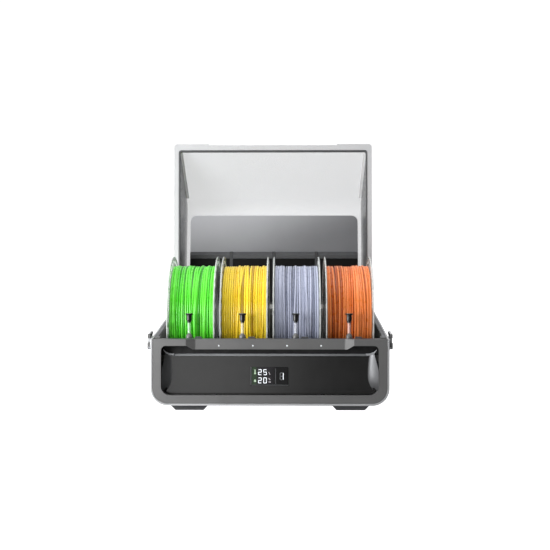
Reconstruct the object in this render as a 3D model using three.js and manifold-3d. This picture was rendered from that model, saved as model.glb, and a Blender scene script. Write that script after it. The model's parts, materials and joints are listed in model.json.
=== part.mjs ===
// A four-bay filament dryer box with its lid open: a box-shaped body, four reels on powered
// rollers, and a deep hinged lid. Millimetres, +Z up, the front faces -Y, X = 0 is the middle.
// Until the last lines y is the depth behind the front face and z the height above the table.
import * as THREE from "three";
import { mergeVertices } from "three/addons/utils/BufferGeometryUtils.js";
import Module from "manifold-3d";

const wasm = await Module();
wasm.setup();

// ---- driving dimensions ----
const GAP = 0.3; // between pieces that touch
const HALF_WIDTH = 184.8; // of the body
const DEPTH = 300; // of the body
const SKIN = 3.2; // outer shell thickness
const LOWER_CORNER = 27;
const FOOT_HEIGHT = 8.2;
const FOOT_PLACES = { x: 125.3, front: 25, rear: 277 };
const FRONT_RIM = 111; // rim height at the front face
const RIM_SLOPE = 0.12; // the rim climbs towards the rear
const RIM_ANGLE = Math.atan(RIM_SLOPE);

const BAY_PITCH = 84;
const BAY_COUNT = 4;
const SPOOL_RADIUS = 100;
const SPOOL_HALF_WIDTH = 38;
const FLANGE = 2.2;
const SPOOL_BORE = 27;
const SPOOL_BARREL = 50;
const BARREL_WALL = 3.5;
const WINDING_RADIUS = 85;
const SPOOL_Y = 130;
const SPOOL_Z = 140;
const ROLLER_RADIUS = 9;
const ROLLER_SHAFT = 4;
const ROLLER_SPREAD = 62.7; // from the spool axis, front and rear
const ROLLER_Z = SPOOL_Z - Math.sqrt((SPOOL_RADIUS + ROLLER_RADIUS + 0.36) ** 2 - ROLLER_SPREAD ** 2);

const FLOOR_Z = 32; // of the bays
const TRAY_FRONT = 14.3;
const TRAY_REAR = DEPTH - 4;
const BAY_FRONT = 26;
const BAY_REAR = 234;
const DIVIDER = 3;
const DIVIDER_TOP = 75;
const INNER_WALL = 174; // half width between the upper bay walls
const FRONT_WALL_TOP = 109.4;
const COMPARTMENT_FRONT = 240;
const COMPARTMENT_HALF = 176;
const DECK_Z = 118;
const DECK_HALF = 166;

const PANEL_Y = 16; // depth of the flat part of the front panel
const PANEL_TOP = 87;
const OPENING_HALF = 168.4;
const OPENING_FLOOR = 24;
const POCKET = { half: 172, rear: 22.5 }; // room for the panel behind the bezel
const SCREEN = { x: -0.9, halfWidth: 29.4, halfHeight: 14.2, z: 52.2 };
const BEZEL_PLATE = 10.2;
const RECESS = 7; // of the finger grip in the bezel's top strip
const LIGHT_X = [-79.4, -26.5, 26.5, 79.4];
const LIGHT_Z = 100.4;

const FEED_Y = 32; // the filament leaves each bay here
const FEED_SHIFT = -1.7; // beside the middle of the bay
const FEED_TOP = 110;

const FAN = { x: 0, y: 268, bottom: 96, top: 113 };

const HINGE_Y = 307;
const HINGE_Z = 144.5;
const KNUCKLE = 6;
const PIN = 2.5;
const LUG_SPANS = [[100, 112.5], [127.5, 140]];
const LID_KNUCKLE_SPAN = [112.8, 127.2];
const LID_OPEN = THREE.MathUtils.degToRad(98);
const LID_HALF = 184;
const LID_FRONT = 0.5;
const LID_REAR = 305;
const LID_TOP = 276;
const LID_WALL = 3;
const LID_ROOF = LID_TOP - LID_WALL; // inside of the lid's top
const LID_FRAME_HEIGHT = 8.7;
const LID_SIDE = 178; // half width of the lid's clear shell

const LATCH_Y = 27;
const LATCH_PIVOT_X = 187.7;
const LATCH_PIVOT_DROP = 15.5; // below the rim
const LATCH_HALF = 15; // half length of the lever along the rim
const EAR = 3.7;
const EAR_HEIGHT = [-17.6, -6.9]; // from the rim

const ARC_STEP = Math.PI / 10;
const SIDES = [["left", -1], ["right", 1]];

// ---- materials ----
function material(color, roughness, metalness = 0, opacity = 1) {
  return new THREE.MeshStandardMaterial({ color, roughness, metalness, opacity, transparent: opacity < 1 });
}
const silver = material(0xd4d6d8, 0.4, 0.5);
const satinGrey = material(0x6a6c70, 0.45, 0.3);
const darkGrey = material(0x3c3d40, 0.55);
const black = material(0x17181a, 0.6);
const rubber = material(0x202124, 0.9);
const glossPanel = material(0x46484c, 0.25, 0.3);
const glass = material(0x101214, 0.1);
const lightDot = material(0xf4f6f8, 0.4);
const lidWhite = material(0xebecee, 0.4);
const lidClear = material(0xdcdee2, 0.2, 0, 0.45);
const lidInner = material(0xa0a3a8, 0.5);
const reelClear = material(0xc8ccd0, 0.2, 0, 0.35);
const tubeClear = material(0xe6e9ee, 0.4, 0, 0.6);
const steel = material(0xb8bcc0, 0.3, 0.9);
const boardGreen = material(0x1f5a3a, 0.6);
const filamentColours = [0x63e82e, 0xf2dc3c, 0xb4b9cf, 0xe8822c];

// ---- solids ----
function solid(geometry) {
  const plain = geometry.clone();
  plain.deleteAttribute("normal");
  plain.deleteAttribute("uv");
  const merged = mergeVertices(plain, 1e-4);
  const vertProperties = merged.attributes.position.array;
  const triVerts = new Uint32Array(merged.index.array);
  return new wasm.Manifold(new wasm.Mesh({ numProp: 3, vertProperties, triVerts }));
}

function geometryOf(made) {
  const mesh = made.getMesh();
  const geometry = new THREE.BufferGeometry();
  geometry.setAttribute("position", new THREE.BufferAttribute(mesh.vertProperties, 3));
  geometry.setIndex(new THREE.BufferAttribute(mesh.triVerts, 1));
  const faceted = geometry.toNonIndexed();
  faceted.computeVertexNormals();
  return faceted;
}

function addPart(parent, name, made, look) {
  const mesh = new THREE.Mesh(geometryOf(made), look);
  mesh.name = name;
  parent.add(mesh);
}

function box([x0, x1], [y0, y1], [z0, z1]) {
  const shape = new THREE.BoxGeometry(x1 - x0, y1 - y0, z1 - z0);
  return solid(shape.translate((x0 + x1) / 2, (y0 + y1) / 2, (z0 + z1) / 2));
}

// The turn that lays a shape drawn on x, y and raised along z on to the named axis.
const TURN = {
  x: new THREE.Matrix4().makeBasis(
    new THREE.Vector3(0, 1, 0),
    new THREE.Vector3(0, 0, 1),
    new THREE.Vector3(1, 0, 0),
  ),
  y: new THREE.Matrix4().makeBasis(
    new THREE.Vector3(1, 0, 0),
    new THREE.Vector3(0, 0, 1),
    new THREE.Vector3(0, -1, 0),
  ),
  z: new THREE.Matrix4(),
};

// An outline raised between two places on an axis. It is drawn on (y, z) for x, on (x, z) for y
// and on (x, y) for z.
function prism(axis, outline, [from, to]) {
  const raised = new THREE.ExtrudeGeometry(outline, { depth: to - from, bevelEnabled: false });
  raised.translate(0, 0, axis === "y" ? -to : from);
  return solid(raised.applyMatrix4(TURN[axis]));
}

// A cylinder between two places on an axis, its centre given by the other two coordinates.
function cylinder(axis, radius, [from, to], [a, b], segments = 24) {
  const round = new THREE.CylinderGeometry(radius, radius, to - from, segments);
  const middle = (from + to) / 2;
  if (axis === "x") round.rotateZ(-Math.PI / 2).translate(middle, a, b);
  if (axis === "y") round.translate(a, middle, b);
  if (axis === "z") round.rotateX(Math.PI / 2).translate(a, b, middle);
  return solid(round);
}

// A profile of [radius, place] pairs spun about the x axis or the z axis through the origin.
function spun(axis, profile, segments) {
  const points = profile.map(([radius, place]) => new THREE.Vector2(radius, place));
  const round = new THREE.LatheGeometry(points, segments);
  if (axis === "x") round.rotateZ(-Math.PI / 2);
  if (axis === "z") round.rotateX(Math.PI / 2);
  return solid(round);
}

// A closed outline through the corners [x, y, radius], each rounded with a true arc.
function outline(corners) {
  const points = [];
  corners.forEach(([x, y, radius = 0], i) => {
    const corner = new THREE.Vector2(x, y);
    if (radius === 0) {
      points.push(corner);
      return;
    }
    const toLast = new THREE.Vector2(...corners.at(i - 1)).sub(corner).normalize();
    const toNext = new THREE.Vector2(...corners[(i + 1) % corners.length]).sub(corner).normalize();
    const half = Math.acos(toLast.dot(toNext)) / 2;
    const turn = (Math.PI - 2 * half) * Math.sign(toNext.cross(toLast));
    const middle = toLast.clone().add(toNext).setLength(radius / Math.sin(half)).add(corner);
    const start = toLast.multiplyScalar(radius / Math.tan(half)).add(corner).sub(middle);
    const steps = Math.ceil(Math.abs(turn) / ARC_STEP);
    for (let k = 0; k <= steps; k += 1) {
      points.push(start.clone().rotateAround(new THREE.Vector2(), (turn * k) / steps).add(middle));
    }
  });
  return new THREE.Shape(points);
}

function rectangle([x0, x1], [y0, y1], lower = 0, upper = lower) {
  return outline([[x0, y0, lower], [x1, y0, lower], [x1, y1, upper], [x0, y1, upper]]);
}

function span(half) {
  return [-half, half];
}

function rimAt(y) {
  return FRONT_RIM + RIM_SLOPE * y;
}

// Everything more than `lift` above the sloping rim plane.
function aboveRim(lift) {
  const near = -50;
  const far = 400;
  const corners = [[near, rimAt(near) + lift], [far, rimAt(far) + lift], [far, 500], [near, 500]];
  return prism("x", outline(corners), span(300));
}

// Everything less than `lift` above the sloping rim plane.
function belowRim(lift) {
  const near = -50;
  const far = 400;
  const corners = [[near, -100], [far, -100], [far, rimAt(far) + lift], [near, rimAt(near) + lift]];
  return prism("x", outline(corners), span(300));
}

function bayCentre(bay) {
  return (bay - (BAY_COUNT - 1) / 2) * BAY_PITCH;
}

// ---- body ----
const part = new THREE.Group();

// The latches stand square to the sloping rim, on a line through this point of it.
function onRim(made, side) {
  const tilted = made.rotate([THREE.MathUtils.radToDeg(RIM_ANGLE), 0, 0]);
  return tilted.translate([side * LATCH_PIVOT_X, LATCH_Y, rimAt(LATCH_Y)]);
}

function latchEars(side) {
  let ears = null;
  for (const end of [-1, 1]) {
    const middle = end * (LATCH_HALF + GAP + EAR / 2);
    const place = [middle - EAR / 2, middle + EAR / 2];
    const drop = -LATCH_PIVOT_DROP;
    const tab = prism("y", rectangle([-4, 3], EAR_HEIGHT, 1.5), place);
    const bored = tab.subtract(cylinder("y", 1.8, [place[0] - 1, place[1] + 1], [0, drop], 12));
    ears = ears ? ears.add(bored) : bored;
  }
  const made = side > 0 ? ears : ears.mirror([1, 0, 0]);
  return onRim(made, side);
}

function outerShell() {
  const bottom = FOOT_HEIGHT;
  const inner = HALF_WIDTH - SKIN;
  const innerCorner = LOWER_CORNER - SKIN;
  const skin = outline([
    [-HALF_WIDTH, 170], [-HALF_WIDTH, bottom, LOWER_CORNER], [HALF_WIDTH, bottom, LOWER_CORNER],
    [HALF_WIDTH, 170], [inner, 170], [inner, bottom + SKIN, innerCorner],
    [-inner, bottom + SKIN, innerCorner], [-inner, 170],
  ]);
  const trimmed = prism("y", skin, [0, DEPTH]).subtract(aboveRim(0));
  return trimmed.add(latchEars(-1)).add(latchEars(1));
}

// The inside of the outer shell, with the usual gap.
function shellInside([from, to]) {
  const half = HALF_WIDTH - SKIN - GAP;
  const corner = LOWER_CORNER - SKIN - GAP;
  return prism("y", rectangle(span(half), [FOOT_HEIGHT + SKIN + GAP, 170], corner, 0), [from, to]);
}

function rollerPlaces() {
  return [SPOOL_Y - ROLLER_SPREAD, SPOOL_Y + ROLLER_SPREAD];
}

// Ribs that carry a tray's floor above the outer shell, one under each outer bay.
function floorRibs(inside) {
  const height = [FOOT_HEIGHT + SKIN + GAP, FLOOR_Z - 2];
  const [left, right] = span(BAY_PITCH).map((x) => box([x - 2, x + 2], inside, height));
  return left.add(right);
}

// The lower tub, up to the top of the dividers between the bays.
function bayTray() {
  const inside = [TRAY_FRONT, COMPARTMENT_FRONT];
  const block = box(span(300), inside, [FLOOR_Z - 4, DIVIDER_TOP]);
  let tray = shellInside(inside).intersect(block).add(floorRibs(inside));
  for (let bay = 0; bay < BAY_COUNT; bay += 1) {
    const x = bayCentre(bay);
    const reach = BAY_PITCH / 2 - DIVIDER / 2;
    tray = tray.subtract(box([x - reach, x + reach], [BAY_FRONT, BAY_REAR], [FLOOR_Z, 200]));
    for (const z of [44, 56, 68]) {
      const airSlot = box([x - 30, x + 30], [BAY_REAR - 1, COMPARTMENT_FRONT + 1], [z - 2, z + 2]);
      tray = tray.subtract(airSlot);
    }
  }
  const reach = (BAY_COUNT / 2) * BAY_PITCH + 0.5;
  for (const y of rollerPlaces()) {
    tray = tray.subtract(cylinder("x", ROLLER_SHAFT + GAP, span(reach), [y, ROLLER_Z], 16));
  }
  return tray.subtract(box(span(POCKET.half), [10, POCKET.rear], [20, 200]));
}

// The floor and the side walls of the compartment behind the bays.
function rearTray() {
  const inside = [COMPARTMENT_FRONT + GAP, TRAY_REAR];
  const block = box(span(300), inside, [FLOOR_Z - 4, DIVIDER_TOP]);
  const tub = shellInside(inside).intersect(block).add(floorRibs(inside));
  return tub.subtract(box(span(COMPARTMENT_HALF), [COMPARTMENT_FRONT, DEPTH], [FLOOR_Z, 200]));
}

// The ring of walls above both trays, with the sunk deck over the rear compartment.
function trayRim() {
  const inside = [TRAY_FRONT, TRAY_REAR];
  const block = box(span(300), inside, [DIVIDER_TOP + GAP, 300]);
  let rim = shellInside(inside).intersect(block).subtract(aboveRim(0));
  rim = rim.subtract(box(span(INNER_WALL), [BAY_FRONT, BAY_REAR], [0, 300]));
  rim = rim.subtract(box(span(POCKET.half), [10, POCKET.rear], [0, 300]));
  rim = rim.subtract(box(span(POCKET.half), [10, BAY_FRONT + 1], [FRONT_WALL_TOP, 300]));
  const belowDeck = box(span(COMPARTMENT_HALF), [COMPARTMENT_FRONT, DEPTH], [0, DECK_Z - 4]);
  const aboveDeck = box(span(DECK_HALF), [COMPARTMENT_FRONT, TRAY_REAR - 6], [DECK_Z, 300]);
  rim = rim.subtract(belowDeck).subtract(aboveDeck);
  return rim.subtract(cylinder("z", 22, [DECK_Z - 10, DECK_Z + 1], [FAN.x, FAN.y]));
}

function bezelOpening() {
  const lip = 94.7;
  const top = 100.6;
  return outline([
    [-OPENING_HALF, OPENING_FLOOR, 14], [OPENING_HALF, OPENING_FLOOR, 14], [OPENING_HALF, top, 7.5],
    [129, top], [120, lip], [-120, lip], [-129, top], [-OPENING_HALF, top, 7.5],
  ]);
}

function frontBezel() {
  const cover = box(span(300), [-10, 50], [FRONT_RIM, 300]);
  const room = [20, FRONT_RIM - 4.6];
  let bezel = shellInside([0, TRAY_FRONT - GAP]).subtract(cover);
  bezel = bezel.subtract(prism("y", bezelOpening(), [-1, 20]));
  bezel = bezel.subtract(box(span(POCKET.half), [BEZEL_PLATE, 20], room));
  bezel = bezel.add(box(span(POCKET.half - GAP), [TRAY_FRONT - 1, POCKET.rear - GAP], [room[1], FRONT_RIM]));
  const grip = outline([[-130, -1], [130, -1], [130, 0], [116, RECESS], [-116, RECESS], [-130, 0]]);
  bezel = bezel.subtract(prism("z", grip, [90, 120]));
  for (const x of LIGHT_X) {
    bezel = bezel.subtract(cylinder("y", 1.3, [0, 20], [x, LIGHT_Z], 12));
  }
  return bezel;
}

// The block of space the screen takes up, grown by `margin` all round and open to the front.
function screenRoom(margin) {
  const across = SCREEN.halfWidth + margin;
  const up = SCREEN.halfHeight + margin;
  return [[SCREEN.x - across, SCREEN.x + across], [0, 30], [SCREEN.z - up, SCREEN.z + up]];
}

// A dished panel: flat in the middle, its ends curving forward to the edge of the opening.
function frontPanel() {
  const half = OPENING_HALF - GAP;
  const flat = 152;
  const tip = 2.5;
  const back = PANEL_Y + 3;
  const plan = new THREE.Shape();
  plan.moveTo(-half, tip);
  plan.quadraticCurveTo(-half + 3, PANEL_Y, -flat, PANEL_Y);
  plan.lineTo(flat, PANEL_Y);
  plan.quadraticCurveTo(half - 3, PANEL_Y, half, tip);
  plan.lineTo(half, back);
  plan.lineTo(-half, back);
  const raised = prism("z", plan, [0, PANEL_TOP]);
  const front = outline([
    [-half, OPENING_FLOOR + GAP, 14], [half, OPENING_FLOOR + GAP, 14], [half, 62],
    [half - 4.6, PANEL_TOP], [-half + 4.6, PANEL_TOP], [-half, 62],
  ]);
  const chamfer = outline([[0, PANEL_TOP - 3 - PANEL_Y], [back, PANEL_TOP], [0, PANEL_TOP]]);
  const hole = box(...screenRoom(GAP));
  const shaped = raised.intersect(prism("y", front, [0, 30]));
  return shaped.subtract(prism("x", chamfer, span(flat))).subtract(hole);
}

function displayScreen() {
  const [across, , up] = screenRoom(0);
  return box(across, [PANEL_Y - 0.4, PANEL_Y + 2.6], up);
}

function displayBoard() {
  const back = PANEL_Y + 3 + GAP;
  return box([SCREEN.x - 36, SCREEN.x + 36], [back, back + 1.6], [SCREEN.z - 20, SCREEN.z + 20]);
}

function statusLightGuide() {
  const bar = [BEZEL_PLATE + GAP, BEZEL_PLATE + 3.3];
  let guide = box(span(86), bar, [LIGHT_Z - 2.5, LIGHT_Z + 2.5]);
  for (const x of LIGHT_X) {
    guide = guide.add(cylinder("y", 1, [RECESS - GAP, bar[0] + 1], [x, LIGHT_Z], 12));
  }
  return guide;
}

function rearCover() {
  let cover = shellInside([TRAY_REAR + GAP, DEPTH]).subtract(aboveRim(0));
  for (const side of [-1, 1]) {
    for (const [near, far] of LUG_SPANS) {
      const place = side > 0 ? [near, far] : [-far, -near];
      const web = outline([[299, 122], [307, 138.6], [307, 144.5], [299, 144.5]]);
      cover = cover.add(prism("x", web, place));
      cover = cover.add(cylinder("x", KNUCKLE, place, [HINGE_Y, HINGE_Z]));
      cover = cover.subtract(cylinder("x", PIN + GAP, place, [HINGE_Y, HINGE_Z], 16));
    }
  }
  for (const x of [-60, -40, -20, 0, 20, 40, 60]) {
    cover = cover.subtract(prism("y", rectangle([x - 3, x + 3], [60, 100], 2.9), [290, 310]));
  }
  return cover.subtract(box([106.2, 133.8], [290, 310], [38.2, 59.8]));
}

function foot(x, y) {
  const top = 29.5;
  const bottom = 22;
  const shape = outline([[x - bottom, 0, 1], [x + bottom, 0, 1], [x + top, FOOT_HEIGHT - GAP],
    [x - top, FOOT_HEIGHT - GAP]]);
  return prism("y", shape, [y - 15, y + 15]);
}

// A feed unit behind the bezel: a round neck for the tube and a low bump beside it show above it.
function feederHousing(x) {
  const body = box([x - 18, x + 22], [BAY_FRONT + GAP, 39.5], [60, FEED_TOP - 1.4]);
  const bump = box([x + 9, x + 20], [BAY_FRONT + GAP, 36], [FEED_TOP - 3, FEED_TOP + 2.8]);
  const neck = [[0, -3], [5.2, -3], [5.2, 2.2], [4.6, 4.6], [3.6, 6.4], [2.8, 7.9], [0, 7.9]];
  return body.add(bump).add(spun("z", neck, 20).translate([x, FEED_Y, FEED_TOP]));
}

function inletTube(x) {
  return cylinder("z", 2.6, [FEED_TOP + 8.2, FEED_TOP + 24.7], [x, FEED_Y], 14);
}

function inletCap(x) {
  const profile = [
    [0, 0], [3.2, 0], [3.2, 2], [4.4, 3.2], [4.4, 11.8], [6, 12.4], [6, 14.6], [0, 14.6],
  ];
  return spun("z", profile, 18).translate([x, FEED_Y, FEED_TOP + 25]);
}

function rearSocket() {
  const flange = prism("y", rectangle([104, 136], [36, 62], 3), [DEPTH + GAP, DEPTH + 2.5]);
  const body = box([106.5, 133.5], [275, DEPTH + 1], [38.5, 59.5]);
  return flange.add(body).subtract(box([110, 130], [285, 310], [42, 56]));
}

function controlBoard() {
  const board = box([50, 98], [246, 292], [40, 42]);
  const transformer = box([54, 70], [252, 268], [41, 58]);
  const capacitor = cylinder("z", 6, [41, 60], [84, 258], 16);
  const connector = box([76, 94], [276, 288], [41, 52]);
  return board.add(transformer).add(capacitor).add(connector);
}

function fanHousing() {
  const frame = box([FAN.x - 26, FAN.x + 26], [FAN.y - 26, FAN.y + 26], [FAN.bottom, FAN.top]);
  let housing = frame.subtract(cylinder("z", 24, [90, 120], [FAN.x, FAN.y], 32));
  housing = housing.add(cylinder("z", 8, [FAN.bottom, FAN.bottom + 2], [FAN.x, FAN.y], 16));
  for (const turn of [0, 120, 240]) {
    const arm = box([5, 25], [-1.5, 1.5], [FAN.bottom, FAN.bottom + 2]);
    housing = housing.add(arm.rotate([0, 0, turn]).translate([FAN.x, FAN.y, 0]));
  }
  return housing;
}

function fanRotor() {
  const height = FAN.top - FAN.bottom - 4;
  let rotor = cylinder("z", 8.5, span(height / 2), [0, 0], 16);
  for (let blade = 0; blade < 7; blade += 1) {
    const vane = box([7, 22.5], [-0.8, 0.8], span(height / 2 + 2)).rotate([40, 0, 0]);
    rotor = rotor.add(vane.rotate([0, 0, (360 / 7) * blade]));
  }
  const slab = box(span(40), span(40), span(height / 2));
  return rotor.intersect(slab);
}

function heaterBlock() {
  let heater = box(span(32), [246, 290], [56, 62]);
  for (let x = -30; x <= 30; x += 7.5) {
    heater = heater.add(box([x - 1, x + 1], [246, 290], [60, 86]));
  }
  return heater;
}

function hingePin(side) {
  const reach = [LUG_SPANS[0][0] - 1, LUG_SPANS[1][1] + 1];
  const place = side > 0 ? reach : [-reach[1], -reach[0]];
  return cylinder("x", PIN, place, [HINGE_Y, HINGE_Z], 16);
}

addPart(part, "outer_shell", outerShell(), silver);
addPart(part, "bay_tray", bayTray(), darkGrey);
addPart(part, "rear_tray", rearTray(), darkGrey);
addPart(part, "tray_rim", trayRim(), darkGrey);
addPart(part, "front_bezel", frontBezel(), satinGrey);
addPart(part, "front_panel", frontPanel(), glossPanel);
addPart(part, "display_screen", displayScreen(), glass);
addPart(part, "display_board", displayBoard(), boardGreen);
addPart(part, "status_light_guide", statusLightGuide(), lightDot);
addPart(part, "rear_cover", rearCover(), satinGrey);
addPart(part, "rear_socket", rearSocket(), black);
addPart(part, "control_board", controlBoard(), boardGreen);
addPart(part, "fan_housing", fanHousing(), black);
addPart(part, "heater_block", heaterBlock(), steel);
for (const [name, side] of SIDES) {
  addPart(part, "foot_front_" + name, foot(side * FOOT_PLACES.x, FOOT_PLACES.front), rubber);
  addPart(part, "foot_rear_" + name, foot(side * FOOT_PLACES.x, FOOT_PLACES.rear), rubber);
  addPart(part, "hinge_pin_" + name, hingePin(side), steel);
}

// ---- bays ----
// A roller with two rubber-covered ends, centred on the origin, its shaft along x.
function roller() {
  const end = BAY_PITCH / 2 - 0.3;
  const outer = BAY_PITCH / 2 - DIVIDER / 2 - GAP;
  const inner = SPOOL_HALF_WIDTH - FLANGE - 3.3;
  return spun("x", [
    [0, -end], [ROLLER_SHAFT, -end], [ROLLER_SHAFT, -outer], [ROLLER_RADIUS, -outer],
    [ROLLER_RADIUS, -inner], [ROLLER_SHAFT + 1, -inner], [ROLLER_SHAFT + 1, inner],
    [ROLLER_RADIUS, inner], [ROLLER_RADIUS, outer], [ROLLER_SHAFT, outer], [ROLLER_SHAFT, end], [0, end],
  ], 16);
}

// A reel centred on the origin, its axis along x: two flanges with a bore, and a hollow barrel.
function spool() {
  const outer = SPOOL_HALF_WIDTH;
  const inner = SPOOL_HALF_WIDTH - FLANGE;
  const hollow = SPOOL_BARREL - BARREL_WALL;
  return spun("x", [
    [SPOOL_BORE, -outer], [SPOOL_RADIUS, -outer], [SPOOL_RADIUS, -inner], [SPOOL_BARREL, -inner],
    [SPOOL_BARREL, inner], [SPOOL_RADIUS, inner], [SPOOL_RADIUS, outer], [SPOOL_BORE, outer],
    [SPOOL_BORE, inner], [hollow, inner], [hollow, -inner], [SPOOL_BORE, -inner], [SPOOL_BORE, -outer],
  ], 32);
}

function winding() {
  const inner = SPOOL_BARREL + GAP;
  const half = SPOOL_HALF_WIDTH - FLANGE - GAP;
  return spun("x", [
    [inner, -half], [WINDING_RADIUS, -half], [WINDING_RADIUS, half], [inner, half], [inner, -half],
  ], 32);
}

for (let bay = 0; bay < BAY_COUNT; bay += 1) {
  const number = bay + 1;
  const x = bayCentre(bay);
  const feedX = x + FEED_SHIFT;
  addPart(part, "feeder_housing_" + number, feederHousing(feedX), satinGrey);
  addPart(part, "inlet_tube_" + number, inletTube(feedX), tubeClear);
  addPart(part, "inlet_cap_" + number, inletCap(feedX), black);
  rollerPlaces().forEach((y, i) => {
    const turning = new THREE.Group();
    turning.position.set(x, y, ROLLER_Z);
    addPart(turning, (i === 0 ? "roller_front_" : "roller_rear_") + number, roller(), rubber);
    part.add(turning);
  });
  const reel = new THREE.Group();
  reel.position.set(x, SPOOL_Y, SPOOL_Z);
  addPart(reel, "spool_" + number, spool(), reelClear);
  addPart(reel, "winding_" + number, winding(), material(filamentColours[bay], 0.45));
  part.add(reel);
}

const fan = new THREE.Group();
fan.position.set(FAN.x, FAN.y, (FAN.bottom + FAN.top) / 2 + 1);
addPart(fan, "fan_rotor", fanRotor(), darkGrey);
part.add(fan);

// ---- latches ----
// A plate on a pivot outside the shell, with a head along its top edge; the nib on the head
// faces the pocket in the lid frame.
function latch(side) {
  const drop = -LATCH_PIVOT_DROP;
  const length = span(LATCH_HALF);
  const barrel = cylinder("y", 2.5, length, [0, drop], 16);
  const plate = prism("y", rectangle([-1, 2.4], [drop, 0]), length);
  const head = prism("y", rectangle([-1.3, 3], [-1.3, 6.1], 1.4), length);
  const nib = prism("y", outline([[-2.8, 2.2], [0, 1.6], [0, 5.8], [-2.8, 5]]), span(8));
  const trunnions = cylinder("y", 1.5, span(LATCH_HALF + EAR), [0, drop], 12);
  const made = barrel.add(plate).add(head).add(nib).add(trunnions);
  return onRim(side > 0 ? made : made.mirror([1, 0, 0]), side);
}

for (const [name, side] of SIDES) {
  addPart(part, "latch_" + name, latch(side), satinGrey);
}

// ---- lid, drawn closed ----
function lidFrame() {
  const outer = rectangle(span(LID_HALF), [LID_FRONT, LID_REAR], 6);
  const inner = rectangle(span(176), [LID_FRONT + 11, LID_REAR - 8], 5);
  let frame = prism("z", outer, [100, 200]).subtract(prism("z", inner, [90, 210]));
  frame = frame.subtract(belowRim(0.8)).subtract(aboveRim(LID_FRAME_HEIGHT));
  frame = frame.subtract(prism("z", rectangle(span(120), [-5, LID_FRONT + 2], 0, 1.9), [90, 210]));
  for (const [, side] of SIDES) {
    const pocket = box(span(9), span(9), [1.4, 7.6]).translate([side * 3.6, 0, 0]);
    frame = frame.subtract(onRim(pocket, side));
    for (const [near, far] of LUG_SPANS) {
      const place = side > 0 ? [near - 0.6, far + 0.6] : [-far - 0.6, -near + 0.6];
      frame = frame.subtract(cylinder("x", KNUCKLE + 0.7, place, [HINGE_Y, HINGE_Z]));
    }
    const [near, far] = LID_KNUCKLE_SPAN;
    const place = side > 0 ? [near, far] : [-far, -near];
    const web = box(place, [HINGE_Y - 5.5, HINGE_Y - 1], [HINGE_Z, HINGE_Z + 10]);
    frame = frame.add(web).add(cylinder("x", KNUCKLE, place, [HINGE_Y, HINGE_Z]));
    frame = frame.subtract(cylinder("x", PIN + GAP, place, [HINGE_Y, HINGE_Z], 16));
  }
  return frame;
}

function lidSeal() {
  const outer = rectangle(span(175.7), [LID_FRONT + 11.3, LID_REAR - 8.3], 5);
  const inner = rectangle(span(173.2), [LID_FRONT + 13.8, LID_REAR - 10.8], 3);
  const ring = prism("z", outer, [100, 200]).subtract(prism("z", inner, [90, 210]));
  return ring.subtract(belowRim(0.45)).subtract(aboveRim(LID_FRAME_HEIGHT - GAP));
}

function lidProfile(inset) {
  const shift = inset * 1.1;
  return outline([
    [LID_FRONT + shift, 100], [LID_FRONT + shift, 118.5 - inset * 0.1],
    [77 + shift, LID_TOP - inset, 28 - inset], [LID_REAR - inset, LID_TOP - inset, 15 - inset],
    [LID_REAR - inset, 100],
  ]);
}

function lidWindow() {
  const outer = prism("x", lidProfile(0), span(LID_SIDE));
  const inner = prism("x", lidProfile(LID_WALL), span(LID_SIDE - LID_WALL - 0.5));
  return outer.subtract(inner).subtract(belowRim(LID_FRAME_HEIGHT + GAP));
}

function lidTopPanel() {
  return prism("z", rectangle(span(167.7), [104.5, 289], 12), [LID_ROOF - 1.6, LID_ROOF - GAP]);
}

function desiccantTray() {
  return prism("z", rectangle(span(167), [180, 290], 2), [LID_ROOF - 11, LID_ROOF - 1.9]);
}

function desiccantBox(x) {
  const half = BAY_PITCH / 2 - 2.2;
  const top = LID_ROOF - 11.3;
  const profile = outline([[180, top], [189, 249], [288, 249], [288, top]]);
  return prism("x", profile, [x - half, x + half]);
}

const lid = new THREE.Group();
addPart(lid, "lid_frame", lidFrame(), lidWhite);
addPart(lid, "lid_window", lidWindow(), lidClear);
addPart(lid, "lid_seal", lidSeal(), rubber);
addPart(lid, "lid_top_panel", lidTopPanel(), lidInner);
addPart(lid, "desiccant_tray", desiccantTray(), darkGrey);
for (let bay = 0; bay < BAY_COUNT; bay += 1) {
  addPart(lid, "desiccant_box_" + (bay + 1), desiccantBox(bayCentre(bay)), black);
}
lid.children.forEach((piece) => piece.position.set(0, -HINGE_Y, -HINGE_Z));
lid.position.set(0, HINGE_Y, HINGE_Z);
lid.rotation.x = -LID_OPEN;
part.add(lid);

// The origin is the middle of the bottom of everything, with the lid open.
const whole = new THREE.Box3().setFromObject(part, true);
const middle = whole.getCenter(new THREE.Vector3());
part.position.set(0, -middle.y, 0);
part.updateMatrixWorld(true);

export default part;
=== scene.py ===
"""The looks of a four-bay filament dryer box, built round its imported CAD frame.

Meshes are drawn in millimetres in the box's own terms: x to the right, y the depth behind
the front face, z the height above the table. The lid is drawn closed and then turned open.
"""

import json
import math
import random

import bmesh
import bpy
from mathutils import Matrix, Vector

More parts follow.
